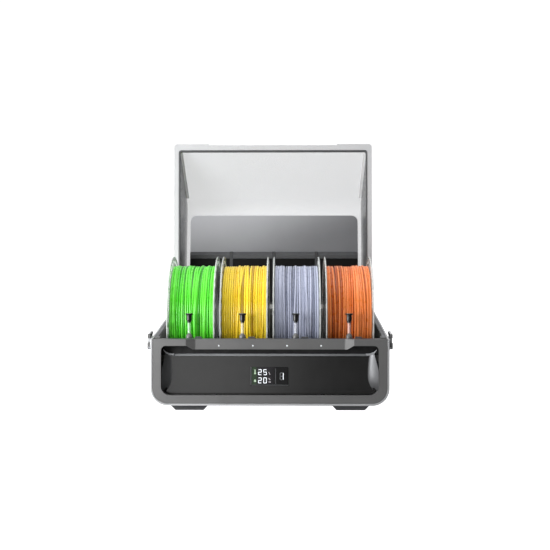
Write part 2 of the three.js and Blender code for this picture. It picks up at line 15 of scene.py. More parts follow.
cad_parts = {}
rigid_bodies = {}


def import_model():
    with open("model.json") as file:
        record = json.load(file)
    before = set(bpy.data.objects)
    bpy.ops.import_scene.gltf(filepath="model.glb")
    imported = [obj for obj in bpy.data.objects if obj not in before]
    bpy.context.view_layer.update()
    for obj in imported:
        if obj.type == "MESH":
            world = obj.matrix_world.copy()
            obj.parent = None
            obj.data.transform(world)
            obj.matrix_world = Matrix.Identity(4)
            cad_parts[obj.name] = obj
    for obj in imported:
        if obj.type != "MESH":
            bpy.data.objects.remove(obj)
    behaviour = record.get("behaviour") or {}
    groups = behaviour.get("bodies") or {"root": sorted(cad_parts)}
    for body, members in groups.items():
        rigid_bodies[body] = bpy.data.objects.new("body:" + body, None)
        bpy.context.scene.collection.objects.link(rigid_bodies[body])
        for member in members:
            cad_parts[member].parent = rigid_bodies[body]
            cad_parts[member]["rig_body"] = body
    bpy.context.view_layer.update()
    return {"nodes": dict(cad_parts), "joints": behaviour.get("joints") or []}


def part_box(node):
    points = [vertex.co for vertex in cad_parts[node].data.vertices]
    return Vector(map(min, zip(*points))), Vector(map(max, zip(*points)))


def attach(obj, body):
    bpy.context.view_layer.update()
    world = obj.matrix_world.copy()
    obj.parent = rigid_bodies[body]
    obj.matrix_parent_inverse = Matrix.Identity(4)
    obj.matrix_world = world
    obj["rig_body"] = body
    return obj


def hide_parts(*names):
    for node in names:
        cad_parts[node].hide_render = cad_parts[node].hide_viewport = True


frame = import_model()

# ---- sizes in millimetres, some read from the frame and the rest given ----
MM = 0.001
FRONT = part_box("outer_shell")[0].y
TO_FRAME = Matrix.Translation((0, FRONT, 0)) @ Matrix.Scale(MM, 4)


def extent(node):
    """((x0, x1), (y0, y1), (z0, z1)) of a CAD node at rest, in the box's own millimetres."""
    low, high = (TO_FRAME.inverted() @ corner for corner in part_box(node))
    return tuple(zip(low, high))


GAP = 0.3
SHELL = extent("outer_shell")
BEZEL = extent("front_bezel")
PANEL = extent("front_panel")
SCREEN = extent("display_screen")
REEL = extent("spool_1")
WINDING = extent("winding_1")
FAN = extent("fan_housing")
BAY_X = [sum(extent(f"spool_{number}")[0]) / 2 for number in (1, 2, 3, 4)]
FEED_X = [sum(extent(f"inlet_cap_{number}")[0]) / 2 for number in (1, 2, 3, 4)]
LID_HINGE = next(joint for joint in frame["joints"] if joint["name"] == "lid_hinge")
HINGE = TO_FRAME.inverted() @ Vector(LID_HINGE["pos_m"])
LID_OPEN = math.radians(LID_HINGE["range_deg"][1])
BODY_OF = {node: piece["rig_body"] for node, piece in frame["nodes"].items()}

SKIN = 3.2
HALF_WIDTH = BEZEL[0][1] + GAP + SKIN
DEPTH = 300.0
LOWER_CORNER = 27.0
BASE = SHELL[2][0]
FRONT_RIM = BEZEL[2][1]
RIM_SLOPE = 0.12
REEL_RADIUS = (REEL[2][1] - REEL[2][0]) / 2
REEL_HALF = (REEL[0][1] - REEL[0][0]) / 2
REEL_Y = sum(REEL[1]) / 2
REEL_Z = sum(REEL[2]) / 2
WINDING_RADIUS = (WINDING[2][1] - WINDING[2][0]) / 2
WINDING_HALF = (WINDING[0][1] - WINDING[0][0]) / 2
BARREL = 50.0
BARREL_WALL = 3.5
BORE = 27.0
FLANGE = 2.2
LIGHT_X = (-79.4, -26.5, 26.5, 79.4)
LIGHT_Z = 100.4
LID_TOP = 276.0
LID_FRONT = 0.5
LID_REAR = 305.0
LID_WALL = 3.0
LID_SIDE = 178.0
LID_FRAME_HEIGHT = 8.7
LATCH_Y = 27.0
LATCH_PIVOT_X = 187.7
LATCH_PIVOT_DROP = 15.5
LATCH_HALF = 15.0
EAR = 3.7
EAR_HEIGHT = (-17.6, -6.9)
FEED_Y = sum(extent("inlet_tube_1")[1]) / 2
FEED_TOP = 110.0


def rim_at(y):
    return FRONT_RIM + RIM_SLOPE * y


def lid_turn():
    """From the lid as drawn, closed, to where it stands open, in millimetres."""
    there = Matrix.Translation(HINGE)
    return there @ Matrix.Rotation(-LID_OPEN, 4, "X") @ there.inverted()


# ---- mesh tools ----
AXES = {
    "x": lambda a, b, c: (c, a, b),
    "y": lambda a, b, c: (a, c, b),
    "z": lambda a, b, c: (a, b, c),
}


def rounded(corners, step=9.0):
    """A closed outline through the corners (a, b, radius), each rounded with a true arc."""
    points = []
    for i, corner in enumerate(corners):
        here = Vector(corner[:2])
        radius = corner[2] if len(corner) > 2 else 0
        if not radius:
            points.append(here)
            continue
        last = (Vector(corners[i - 1][:2]) - here).normalized()
        following = (Vector(corners[(i + 1) % len(corners)][:2]) - here).normalized()
        half = last.angle(following) / 2
        middle = here + (last + following).normalized() * radius / math.sin(half)
        start = here + last * radius / math.tan(half) - middle
        turn = math.copysign(math.pi - 2 * half, following.cross(last))
        count = max(2, math.ceil(math.degrees(abs(turn)) / step))
        for k in range(count + 1):
            spin = Matrix.Rotation(turn * k / count, 2)
            points.append(middle + spin @ start)
    return points


def rectangle(a, b, lower=0.0, upper=None):
    upper = lower if upper is None else upper
    return rounded([(a[0], b[0], lower), (a[1], b[0], lower), (a[1], b[1], upper), (a[0], b[1], upper)])


def prism(axis, points, place):
    """An outline raised between two places on an axis, as a bmesh."""
    mesh = bmesh.new()
    put = AXES[axis]
    ends = [[mesh.verts.new(put(a, b, c)) for a, b in points] for c in place]
    mesh.faces.new(ends[0])
    mesh.faces.new(ends[1])
    count = len(points)
    for i in range(count):
        j = (i + 1) % count
        mesh.faces.new((ends[0][i], ends[0][j], ends[1][j], ends[1][i]))
    return mesh


def block(x, y, z):
    return prism("z", [(x[0], y[0]), (x[1], y[0]), (x[1], y[1]), (x[0], y[1])], z)


def spun(axis, profile, centre, steps=96, closed=False):
    """A profile of (radius, place) spun about an axis through a centre, as a bmesh."""
    mesh = bmesh.new()
    put = AXES[axis]
    rings = []
    for radius, place in profile:
        if radius == 0:
            rings.append([mesh.verts.new(put(0, 0, place))])
            continue
        angles = [2 * math.pi * k / steps for k in range(steps)]
        rings.append([mesh.verts.new(put(radius * math.cos(t), radius * math.sin(t), place)) for t in angles])
    pairs = list(zip(rings, rings[1:]))
    if closed:
        pairs.append((rings[-1], rings[0]))
    for one, two in pairs:
        for k in range(steps):
            n = (k + 1) % steps
            corners = [one[k % len(one)], one[n % len(one)], two[n % len(two)], two[k % len(two)]]
            face = list(dict.fromkeys(corners))
            if len(face) > 2:
                mesh.faces.new(face)
    mesh.transform(Matrix.Translation(centre))
    return mesh


def rod(axis, radius, place, centre, steps=32):
    """A cylinder between two places on an axis; centre gives the other two coordinates."""
    a, b = centre
    points = []
    for k in range(steps):
        turn = 2 * math.pi * k / steps
        points.append((a + radius * math.cos(turn), b + radius * math.sin(turn)))
    return prism(axis, points, place)


def merged(meshes):
    """Several bmeshes as one."""
    total = bmesh.new()
    for mesh in meshes:
        scratch = bpy.data.meshes.new("scratch")
        mesh.to_mesh(scratch)
        total.from_mesh(scratch)
        mesh.free()
        bpy.data.meshes.remove(scratch)
    return total


def object_from(name, mesh):
    bmesh.ops.recalc_face_normals(mesh, faces=mesh.faces)
    data = bpy.data.meshes.new(name)
    mesh.to_mesh(data)
    mesh.free()
    made = bpy.data.objects.new(name, data)
    bpy.context.scene.collection.objects.link(made)
    return made


def carved(mesh, cutters, operation="DIFFERENCE"):
    """The mesh with each cutter taken away from it, or joined or kept in common, as a bmesh."""
    target = object_from("carved", mesh)
    for cutter in cutters:
        tool = object_from("cutter", cutter)
        boolean = target.modifiers.new("cut", "BOOLEAN")
        boolean.operation = operation
        boolean.solver = "EXACT"
        boolean.object = tool
        graph = bpy.context.evaluated_depsgraph_get()
        data = bpy.data.meshes.new_from_object(target.evaluated_get(graph))
        target.modifiers.clear()
        old, target.data = target.data, data
        bpy.data.meshes.remove(old)
        bpy.data.meshes.remove(tool.data)
    result = bmesh.new()
    result.from_mesh(target.data)
    bmesh.ops.remove_doubles(result, verts=result.verts, dist=0.001)
    bmesh.ops.dissolve_limit(result, angle_limit=math.radians(0.5), verts=result.verts, edges=result.edges)
    bpy.data.meshes.remove(target.data)
    return result


def soften(piece, width, segments=3, angle=30.0):
    """Rounds the piece's edges that are sharper than the angle, and shades it smooth."""
    bevel = piece.modifiers.new("bevel", "BEVEL")
    bevel.width = width * MM
    bevel.segments = segments
    bevel.limit_method = "ANGLE"
    bevel.angle_limit = math.radians(angle)
    bevel.miter_outer = "MITER_ARC"
    normals = piece.modifiers.new("normals", "WEIGHTED_NORMAL")
    normals.keep_sharp = True


def shade_smooth(piece, angle=35.0):
    """Smooth shading, with edges sharper than the angle kept sharp."""
    mesh = bmesh.new()
    mesh.from_mesh(piece.data)
    for face in mesh.faces:
        face.smooth = True
    for edge in mesh.edges:
        bent = len(edge.link_faces) == 2 and edge.calc_face_angle(0) > math.radians(angle)
        edge.smooth = not bent
    mesh.to_mesh(piece.data)
    mesh.free()


def add_piece(name, mesh, look, node=None, body=None, bevel=0.0, lid=False, segments=3):
    """The mesh as a piece that rides on a body and, if a node is named, stands in for it."""
    mesh.transform(TO_FRAME @ lid_turn() if lid else TO_FRAME)
    made = object_from(name, mesh)
    made.data.materials.append(look)
    if bevel:
        for face in made.data.polygons:
            face.use_smooth = True
        soften(made, bevel, segments)
    else:
        shade_smooth(made)
    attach(made, body or BODY_OF[node])
    if node:
        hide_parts(node)
    return made


def dress(node, look, bevel=0.0):
    """Keeps a CAD node, with rounded edges and a better material."""
    piece = frame["nodes"][node]
    piece.data.materials.clear()
    piece.data.materials.append(look)
    weld = piece.modifiers.new("weld", "WELD")
    weld.merge_threshold = 0.01 * MM
    flat = piece.modifiers.new("flat", "DECIMATE")
    flat.decimate_type = "DISSOLVE"
    flat.angle_limit = math.radians(0.5)
    if bevel:
        for face in piece.data.polygons:
            face.use_smooth = True
        soften(piece, bevel, 2, 30.0)
    return piece


# ---- materials ----
def linear(hex_colour):
    """A hex colour as linear red, green, blue and alpha."""
    parts = [int(hex_colour[i:i + 2], 16) / 255 for i in (0, 2, 4)]
    return [c / 12.92 if c <= 0.04045 else ((c + 0.055) / 1.055) ** 2.4 for c in parts] + [1.0]


def scaled(colour, share):
    return [min(1.0, c * share) for c in colour[:3]] + [1.0]


def new_material(name):
    look = bpy.data.materials.new(name)
    look.use_nodes = True
    return look, look.node_tree.nodes, look.node_tree.links


def noise(nodes, links, size_mm, detail=3.0, stretch=(1, 1, 1)):
    """A noise texture whose features are about size_mm across, in the piece's own space."""
    place = nodes.new("ShaderNodeTexCoord")
    mapping = nodes.new("ShaderNodeMapping")
    mapping.inputs["Scale"].default_value = stretch
    texture = nodes.new("ShaderNodeTexNoise")
    texture.inputs["Scale"].default_value = 1 / (size_mm * MM)
    texture.inputs["Detail"].default_value = detail
    links.new(place.outputs["Object"], mapping.inputs["Vector"])
    links.new(mapping.outputs["Vector"], texture.inputs["Vector"])
    return texture


def ramp(nodes, links, source, stops):
    made = nodes.new("ShaderNodeValToRGB")
    made.color_ramp.elements[0].position = stops[0][0]
    made.color_ramp.elements[0].color = stops[0][1]
    made.color_ramp.elements[1].position = stops[-1][0]
    made.color_ramp.elements[1].color = stops[-1][1]
    for position, colour in stops[1:-1]:
        made.color_ramp.elements.new(position).color = colour
    links.new(source, made.inputs["Fac"])
    return made


def ranged(nodes, links, source, place, level):
    """The source, eased from the two places to the two levels."""
    made = nodes.new("ShaderNodeMapRange")
    made.interpolation_type = "SMOOTHSTEP"
    made.inputs["From Min"].default_value, made.inputs["From Max"].default_value = place
    made.inputs["To Min"].default_value, made.inputs["To Max"].default_value = level
    links.new(source, made.inputs["Value"])
    return made


def bumped(nodes, links, shader, source, strength, depth):
    bump = nodes.new("ShaderNodeBump")
    bump.inputs["Strength"].default_value = strength
    bump.inputs["Distance"].default_value = depth * MM
    links.new(source, bump.inputs["Height"])
    links.new(bump.outputs["Normal"], shader.inputs["Normal"])


def moulded(name, colour, roughness, metallic=0.0, grain=0.5, depth=0.02, spread=0.05, coat=0.0, alpha=1.0,
            specular=0.5):
    """Moulded or painted plastic: faint mottling, uneven sheen and a fine spark-eroded grain."""
    look, nodes, links = new_material(name)
    shader = nodes["Principled BSDF"]
    base = linear(colour)
    mottle = noise(nodes, links, 30.0, 4.0)
    stops = [(0.3, scaled(base, 1 - spread)), (0.7, scaled(base, 1 + spread))]
    tone = ramp(nodes, links, mottle.outputs["Fac"], stops)
    links.new(tone.outputs["Color"], shader.inputs["Base Color"])
    smudge = noise(nodes, links, 12.0, 5.0)
    glossier, duller = roughness * 0.88, min(1.0, roughness * 1.12)
    sheen = ranged(nodes, links, smudge.outputs["Fac"], (0.3, 0.7), (glossier, duller))
    links.new(sheen.outputs["Result"], shader.inputs["Roughness"])
    fine = noise(nodes, links, grain, 2.0)
    bumped(nodes, links, shader, fine.outputs["Fac"], 0.35, depth)
    shader.inputs["Metallic"].default_value = metallic
    shader.inputs["Coat Weight"].default_value = coat
    shader.inputs["Alpha"].default_value = alpha
    shader.inputs["Specular IOR Level"].default_value = specular
    return look


def sheet_with_painted_glow(name, colour):
    """A frosted sheet with a painted glow: its emission grows towards the top left corner, standing in for
    the light that the lid lets in there.
    """
    look = moulded(name, colour, 0.42, depth=0.01, spread=0.03)
    nodes, links = look.node_tree.nodes, look.node_tree.links
    place = nodes.new("ShaderNodeTexCoord")
    slant = nodes.new("ShaderNodeVectorMath")
    slant.operation = "DOT_PRODUCT"
    slant.inputs[1].default_value = (-1.0, 0.0, 2.6)
    links.new(place.outputs["Object"], slant.inputs[0])
    # Painted glow: emission set by place on the sheet, strongest at the top left.
    glow = ranged(nodes, links, slant.outputs["Value"], (0.6, 1.1), (0.02, 0.45))
    nodes["Principled BSDF"].inputs["Emission Color"].default_value = (0.95, 0.96, 1.0, 1.0)
    links.new(glow.outputs["Result"], nodes["Principled BSDF"].inputs["Emission Strength"])
    return look


def glowing(name, colour, strength):
    """A lit mark: its glow is slightly uneven, as behind a diffuser."""
    look, nodes, links = new_material(name)
    shader = nodes["Principled BSDF"]
    base = linear(colour)
    patch = noise(nodes, links, 1.5, 2.0)
    tone = ramp(nodes, links, patch.outputs["Fac"], [(0.3, scaled(base, 0.9)), (0.7, base)])
    links.new(tone.outputs["Color"], shader.inputs["Base Color"])
    links.new(tone.outputs["Color"], shader.inputs["Emission Color"])
    shader.inputs["Emission Strength"].default_value = strength
    shader.inputs["Roughness"].default_value = 0.5
    return look


def filament(name, light, middle, dark):
    """Glossy filament: each strand has its own tone, stored on the mesh, and faint streaks along it."""
    look, nodes, links = new_material(name)
    shader = nodes["Principled BSDF"]
    tone = nodes.new("ShaderNodeAttribute")
    tone.attribute_name = "tone"
    stops = [(0.0, linear(dark)), (0.4, linear(middle)), (0.75, linear(light)), (1.0, linear(light))]
    colours = ramp(nodes, links, tone.outputs["Fac"], stops)
    links.new(colours.outputs["Color"], shader.inputs["Base Color"])
    streak = noise(nodes, links, 6.0, 3.0)
    sheen = ranged(nodes, links, streak.outputs["Fac"], (0.3, 0.7), (0.25, 0.42))
    links.new(sheen.outputs["Result"], shader.inputs["Roughness"])
    return look


def display_glass():
    """Black display glass with painted light: a faint green glow behind its left column of marks, and a grey
    that darkens to black towards the right as the light falls off.
    """
    look, nodes, links = new_material("display_glass")
    shader = nodes["Principled BSDF"]
    place = nodes.new("ShaderNodeTexCoord")
    split = nodes.new("ShaderNodeSeparateXYZ")
    links.new(place.outputs["Object"], split.inputs["Vector"])
    left = SCREEN[0][0] * MM
    width = (SCREEN[0][1] - SCREEN[0][0]) * MM
    across = ranged(nodes, links, split.outputs["X"], (left, left + width), (0.0, 1.0))
    across.interpolation_type = "LINEAR"
    # Painted light across the face: green glow at the left, then greys darkening towards the right.
    painted_green_glow = [(0.03, linear("30402f")), (0.13, linear("2f412d"))]
    painted_falloff_greys = [(0.19, linear("2b2a2d")), (0.5, linear("242226")), (0.68, linear("0c0c0d"))]
    painted_light_tint = ramp(nodes, links, across.outputs["Result"], painted_green_glow + painted_falloff_greys)
    links.new(painted_light_tint.outputs["Color"], shader.inputs["Base Color"])
    haze = noise(nodes, links, 5.0, 3.0)
    sheen = ranged(nodes, links, haze.outputs["Fac"], (0.3, 0.7), (0.16, 0.24))
    links.new(sheen.outputs["Result"], shader.inputs["Roughness"])
    shader.inputs["Specular IOR Level"].default_value = 0.3
    return look


silver = moulded("silver_paint", "b9babc", 0.34, metallic=0.3, depth=0.01)
satin_grey = moulded("satin_grey", "6c6c6c", 0.42, metallic=0.2)
dark_grey = moulded("dark_grey", "3b3c3e", 0.5)
rim_grey = moulded("rim_grey", "434448", 0.45)
wall_grey = moulded("wall_grey", "5d5e5a", 0.5)
gloss_panel = moulded("gloss_panel", "262626", 0.16, metallic=0.1, depth=0.003, coat=0.2)
# Light grey for the panel's top edge and its horns: a painted highlight.
ledge_painted_highlight = moulded("ledge_painted_highlight", "a9abae", 0.36, metallic=0.3)
scoop_metal = moulded("scoop_metal", "6f7072", 0.4, metallic=0.7, depth=0.003)
screen_edge = moulded("screen_edge", "454648", 0.4)
screen_glass = display_glass()
black_plastic = moulded("black_plastic", "131416", 0.42)
rubber = moulded("rubber", "1c1d1f", 0.8, grain=0.8, depth=0.04)
foot_rubber = moulded("foot_rubber", "4c4d4f", 0.7, grain=0.8, depth=0.03)
gasket = moulded("gasket", "0c0c0d", 0.7, grain=0.6, depth=0.02)
lid_white = moulded("lid_white", "d2d3d5", 0.38, depth=0.01, spread=0.02)
lid_clear = moulded("lid_clear", "dadde2", 0.2, depth=0.004, spread=0.02, coat=0.2, alpha=0.26)
# Dark copy of the lid's clear plastic for its side walls, painted shade; near-white copy for its rounded
# corners, painted highlight.
lid_side_painted_shade = moulded("lid_side_painted_shade", "3e4044", 0.3, depth=0.004, spread=0.04, alpha=0.84)
lid_edge_painted_highlight = moulded("lid_edge_painted_highlight", "f8f9fb", 0.3, depth=0.004, spread=0.02, alpha=0.85)
lid_inner = sheet_with_painted_glow("lid_inner", "78797c")
box_grey = moulded("box_grey", "4a4b4d", 0.42)
box_black = moulded("box_black", "0d0d0d", 0.4, specular=0.15)
clear_reel = moulded("clear_reel", "dfe3e1", 0.15, depth=0.003, coat=0.5, alpha=0.6)
seal_grey = moulded("seal_grey", "5e5f61", 0.7, grain=0.8, depth=0.03)
clear_tube = moulded("clear_tube", "f2f4f8", 0.2, depth=0.003, alpha=0.25)
cap_black = moulded("cap_black", "101113", 0.3, depth=0.004, coat=0.3)
steel = moulded("steel", "b4b7bb", 0.3, metallic=0.9, depth=0.005)
aluminium = moulded("aluminium", "c2c5c9", 0.4, metallic=0.9)
circuit_board = moulded("circuit_board", "1f5a3a", 0.5)
light_guide = glowing("light_guide", "f4f6f8", 0.5)
digit_white = glowing("digit_white", "e6eaee", 0.75)
digit_ghost = moulded("digit_ghost", "6a6c6e", 0.5, depth=0.004)
mark_grey = moulded("mark_grey", "505254", 0.5, depth=0.004)
mark_pale = glowing("mark_pale", "b4b0b4", 0.5)
icon_green = glowing("icon_green", "a8bca4", 0.6)
FILAMENTS = [
    filament("filament_green", "66e23e", "3fc820", "1f7a10"),
    filament("filament_yellow", "f2d636", "e0b820", "8a6410"),
    filament("filament_lavender", "b9bed2", "9aa0b6", "5f6478"),
    filament("filament_orange", "f08a4a", "dd6a26", "8a3a0c"),
]


# ---- body ----
def shell_inside(place, half=HALF_WIDTH - SKIN - GAP, corner=LOWER_CORNER - SKIN - GAP):
    floor = BASE + SKIN + GAP
    return prism("y", rectangle((-half, half), (floor, 180), corner, 0), place)


def above_rim(lift=0.0):
    corners = [(-50, rim_at(-50) + lift), (400, rim_at(400) + lift), (400, 500), (-50, 500)]
    return prism("x", corners, (-300, 300))


def below_rim(lift=0.0):
    corners = [(-50, -100), (400, -100), (400, rim_at(400) + lift), (-50, rim_at(-50) + lift)]
    return prism("x", corners, (-300, 300))


def on_rim(mesh, side):
    """Sets a piece of the right latch square to the sloping rim on either side of the body."""
    if side < 0:
        mesh.transform(Matrix.Scale(-1, 4, (1, 0, 0)))
    mesh.transform(Matrix.Rotation(math.atan(RIM_SLOPE), 4, "X"))
    mesh.transform(Matrix.Translation((side * LATCH_PIVOT_X, LATCH_Y, rim_at(LATCH_Y))))
    return mesh


def latch_ear(side, end):
    """A bored tab that carries one end of a latch's pivot."""
    place = sorted((end * (LATCH_HALF + GAP), end * (LATCH_HALF + GAP + EAR)))
    tab = prism("y", rectangle((-4, 3), EAR_HEIGHT, 1.4), place)
    return on_rim(carved(tab, [rod("y", 1.8, (-40, 40), (0, -LATCH_PIVOT_DROP))]), side)


def latch(name, side):
    """A plate on a pivot with a rounded head along its top, and the nib that grips the lid."""
    node, drop = "latch_" + name, -LATCH_PIVOT_DROP
    length = (-LATCH_HALF, LATCH_HALF)
    grip = [block((2.5, 4), (y - 0.4, y + 0.4), (0.6, 4.2)) for y in (-9, -6, -3, 0, 3, 6, 9)]
    head = carved(prism("y", rectangle((-1.3, 3), (-1.3, 6.1), 1.4), length), grip)
    made = add_piece("head_" + name, on_rim(head, side), satin_grey, node, bevel=0.35)
    made.data.materials.append(silver)
    made.data.materials.append(black_plastic)
    # Painted light on the head: faces turned up take silver as a painted highlight, faces turned in towards
    # the body take black as painted shade.
    for face in made.data.polygons:
        if face.normal.z > 0.75:
            face.material_index = 1
        elif face.normal.x * side < -0.75:
            face.material_index = 2
    plate = carved(rod("y", 2.5, length, (0, drop)), [block((-1, 2.4), length, (drop, 0))], "UNION")
    add_piece("plate_" + name, on_rim(plate, side), silver, body=node, bevel=0.3)
    nib = prism("y", rounded([(-2.8, 2.2, 0.5), (0, 1.6), (0, 5.8), (-2.8, 5.0, 0.5)]), (-8, 8))
    add_piece("nib_" + name, on_rim(nib, side), black_plastic, body=node, bevel=0.2)
    trunnions = rod("y", 1.5, (-LATCH_HALF - EAR, LATCH_HALF + EAR), (0, drop))
    add_piece("pivot_" + name, on_rim(trunnions, side), steel, body=node, bevel=0.2)


def outer_shell():
    inner = HALF_WIDTH - SKIN
    corner = LOWER_CORNER - SKIN
    skin = rounded([
        (-HALF_WIDTH, 170), (-HALF_WIDTH, BASE, LOWER_CORNER), (HALF_WIDTH, BASE, LOWER_CORNER),
        (HALF_WIDTH, 170), (inner, 170), (inner, BASE + SKIN, corner),
        (-inner, BASE + SKIN, corner), (-inner, 170),
    ], 5.0)
    shell = carved(prism("y", skin, (0, DEPTH)), [above_rim()])
    add_piece("shell_skin", shell, silver, "outer_shell", bevel=0.7)
    ears = [latch_ear(side, end) for side in (-1, 1) for end in (-1, 1)]
    add_piece("latch_ears", merged(ears), satin_grey, body="base", bevel=0.3)


def bezel_opening():
    low, top, lip = 24.0, 100.6, 94.7
    half = PANEL[0][1] + GAP
    return rounded([
        (-half, low, 14), (half, low, 14), (half, top, 7.5), (129, top, 2), (120, lip, 2),
        (-120, lip, 2), (-129, top, 2), (-half, top, 7.5),
    ])


def front_bezel():
    grip = rounded([(-131, -2), (131, -2), (130, 0, 2), (116, 7, 5), (-116, 7, 5), (-130, 0, 2)])
    ceiling = FRONT_RIM - 4.6
    flange = block((-171.7, 171.7), (13, BEZEL[1][1]), (ceiling, FRONT_RIM))
    cutters = [
        block((-300, 300), (-10, 50), (FRONT_RIM, 300)),
        prism("y", bezel_opening(), (-5, 30)),
        block((-172, 172), (10.2, 30), (20, ceiling)),
    ]
    plate = carved(shell_inside((0, 14)), cutters)
    whole = carved(plate, [flange], "UNION")
    holes = [rod("y", 1.3, (-5, 30), (x, LIGHT_Z)) for x in LIGHT_X]
    whole = carved(whole, [prism("z", grip, (90, 120))] + holes)
    made = add_piece("bezel_front", whole, satin_grey, "front_bezel", bevel=0.9)
    made.data.materials.append(dark_grey)
    for face in made.data.polygons:
        if face.normal.z > 0.9 and face.center.z > (FRONT_RIM - 1) * MM:
            face.material_index = 1
    # A black sheet at the back of the pocket over the panel's top edge: painted shadow, where the pocket lies
    # in shade.
    shadow_sheet = block((-171, 171), (PANEL[1][1] + 0.3, PANEL[1][1] + 0.8), (PANEL[2][1] - 2, ceiling - 0.3))
    add_piece("pocket_painted_shadow", shadow_sheet, gasket, body="base", bevel=0.1)


def scoop_edge(z):
    """Half width of the panel's flat face, where a leaf-shaped scoop at each end begins."""
    if z > 55:
        return 152.3 + 2.4 * ((z - 55) / 30) ** 2
    return 152.3 + 11.7 * min(1.0, (55 - z) / 28) ** 2.3


def front_panel():
    half = PANEL[0][1]
    deep, tip = PANEL[1][1] - 3, PANEL[1][0]
    low, top = PANEL[2]
    rows = [low - 1 + (top + 2 - low) * k / 40 for k in range(41)]
    shares = [k / 14 for k in range(15)]
    mesh = bmesh.new()
    front, back = [], []
    for z in rows:
        edge = scoop_edge(z)
        right = [(edge + (half + 0.5 - edge) * share, deep - (deep - tip) * share ** 1.5) for share in shares]
        across = [(-x, y) for x, y in reversed(right)] + [(0.0, deep)] + right
        front.append([mesh.verts.new((x, y, z)) for x, y in across])
        back.append([mesh.verts.new((x, PANEL[1][1], z)) for x, _ in across])
    count = len(front[0])
    for i in range(len(rows) - 1):
        for k in range(count - 1):
            mesh.faces.new((front[i][k], front[i][k + 1], front[i + 1][k + 1], front[i + 1][k]))
            mesh.faces.new((back[i][k], back[i][k + 1], back[i + 1][k + 1], back[i + 1][k]))
        for k in (0, -1):
            mesh.faces.new((front[i][k], back[i][k], back[i + 1][k], front[i + 1][k]))
    for i in (0, -1):
        for k in range(count - 1):
            mesh.faces.new((front[i][k], front[i][k + 1], back[i][k + 1], back[i][k]))
    bmesh.ops.recalc_face_normals(mesh, faces=mesh.faces)
    face = rounded([
        (-half, low, 14), (half, low, 14), (half, 62, 30), (half - 6, top), (-half + 6, top), (-half, 62, 30),
    ])
    solid = carved(mesh, [prism("y", face, (-10, 40))], "INTERSECT")
    chamfer = prism("x", [(-20, top - 3 - deep - 20), (deep + 3, top), (-20, top + 1)], (-152, 152))
    across, up = [(near - GAP, far + GAP) for near, far in (SCREEN[0], SCREEN[2])]
    window = block(across, (0, 40), up)
    made = add_piece("panel_face", carved(solid, [chamfer, window]), gloss_panel, "front_panel")
    made.data.materials.append(ledge_painted_highlight)
    made.data.materials.append(scoop_metal)
    # Faces turned up along the top edge take the light grey, a painted highlight; the side-facing scoops take
    # the metal.
    for face in made.data.polygons:
        if face.normal.y < -0.9999:
            face.use_smooth = False
        elif face.normal.y < 0 and abs(face.normal.z) < 0.3 and abs(face.normal.x) > 0.2:
            face.material_index = 2
        elif face.normal.y < 0 and face.normal.z > 0.5 and face.center.z > 80 * MM:
            face.material_index = 1
    for side in (-1, 1):
        panel_horn(side)


def panel_horn(side):
    """The ledge along the panel's top edge runs on, curling forward and up to a point."""
    spine = [(150, 15.6, 86.2, 1.5), (154, 15.2, 86.3, 1.5), (158, 13.8, 87.2, 1.4), (161.5, 11.6, 89.4, 1.1),
             (164.0, 9.2, 92.0, 0.7), (165.6, 7.6, 94.6, 0.2)]
    mesh = bmesh.new()
    rings = []
    for x, y, z, width in spine:
        ring = []
        for a, b in ((-1, -1), (1, -1), (1, 1), (-1, 1)):
            ring.append(mesh.verts.new((side * (x - 0.4 * a * width), y + b * 0.7, z + a * width)))
        rings.append(ring)
    for one, two in zip(rings, rings[1:]):
        for k in range(4):
            mesh.faces.new((one[k], one[(k + 1) % 4], two[(k + 1) % 4], two[k]))
    mesh.faces.new(rings[0])
    mesh.faces.new(rings[-1])
    # The horns take the same light grey: a painted highlight along the curling edge.
    add_piece("panel_horn_left" if side < 0 else "panel_horn_right", mesh, ledge_painted_highlight, body="base", bevel=0.3)


def screws(name, places, axis, outward, radius=2.6):
    """Sunk cross-headed screws: each a low dome in a shadow ring, with a cross pressed into it."""
    heads = []
    for a, b, c in places:
        head = spun(axis, [(0, 0.5 * outward), (radius * 0.7, 0.45 * outward), (radius, 0.1 * outward),
                           (radius, -1.0 * outward), (0, -1.0 * outward)], (0, 0, 0), 28)
        arms = []
        for wide, tall in ((radius * 0.55, 0.35), (0.35, radius * 0.55)):
            corners = [(-wide, -tall), (wide, -tall), (wide, tall), (-wide, tall)]
            arms.append(prism(axis, corners, (-0.1, 0.8) if outward > 0 else (-0.8, 0.1)))
        head = carved(head, arms)
        head.transform(Matrix.Translation((a, b, c)))
        heads.append(head)
    add_piece(name, merged(heads), steel, body="base")


def fan_grille():
    """Rings and spokes over the fan, flush with the sunk deck."""
    x, y = sum(FAN[0]) / 2, sum(FAN[1]) / 2
    rings = []
    for radius in (5, 10, 15, 20):
        turns = [t * math.pi / 4 for t in range(8)]
        profile = [(radius + 0.8 * math.cos(turn), 0.8 * math.sin(turn)) for turn in turns]
        rings.append(spun("z", profile, (x, y, 116.6), 64, True))
    for turn in (0, 60, 120):
        bar = block((-22.5, 22.5), (-0.7, 0.7), (115.9, 117.3))
        bar.transform(Matrix.Rotation(math.radians(turn), 4, "Z"))
        bar.transform(Matrix.Translation((x, y, 0)))
        rings.append(bar)
    add_piece("fan_grille", merged(rings), black_plastic, body="base")


def socket_pins():
    blades = []
    for x, z in ((115.5, 46.5), (124.5, 46.5), (120, 52)):
        blades.append(block((x - 0.8, x + 0.8), (285, 297), (z - 2.2, z + 2.2)))
    add_piece("socket_pins", merged(blades), steel, body="base", bevel=0.4)


def rim_gasket():
    """The dark line round the rim's inner edge, where the lid's seal comes down."""
    low, high = 174.1, 175.4
    strips = []
    for side in (-1, 1):
        place = (side * low, side * high) if side > 0 else (side * high, side * low)
        below = [(27, rim_at(27) - 0.4), (290, rim_at(290) - 0.4)]
        profile = below + [(290, rim_at(290) + 0.2), (27, rim_at(27) + 0.2)]
        strips.append(prism("x", profile, place))
    add_piece("rim_gasket", merged(strips), gasket, body="base")


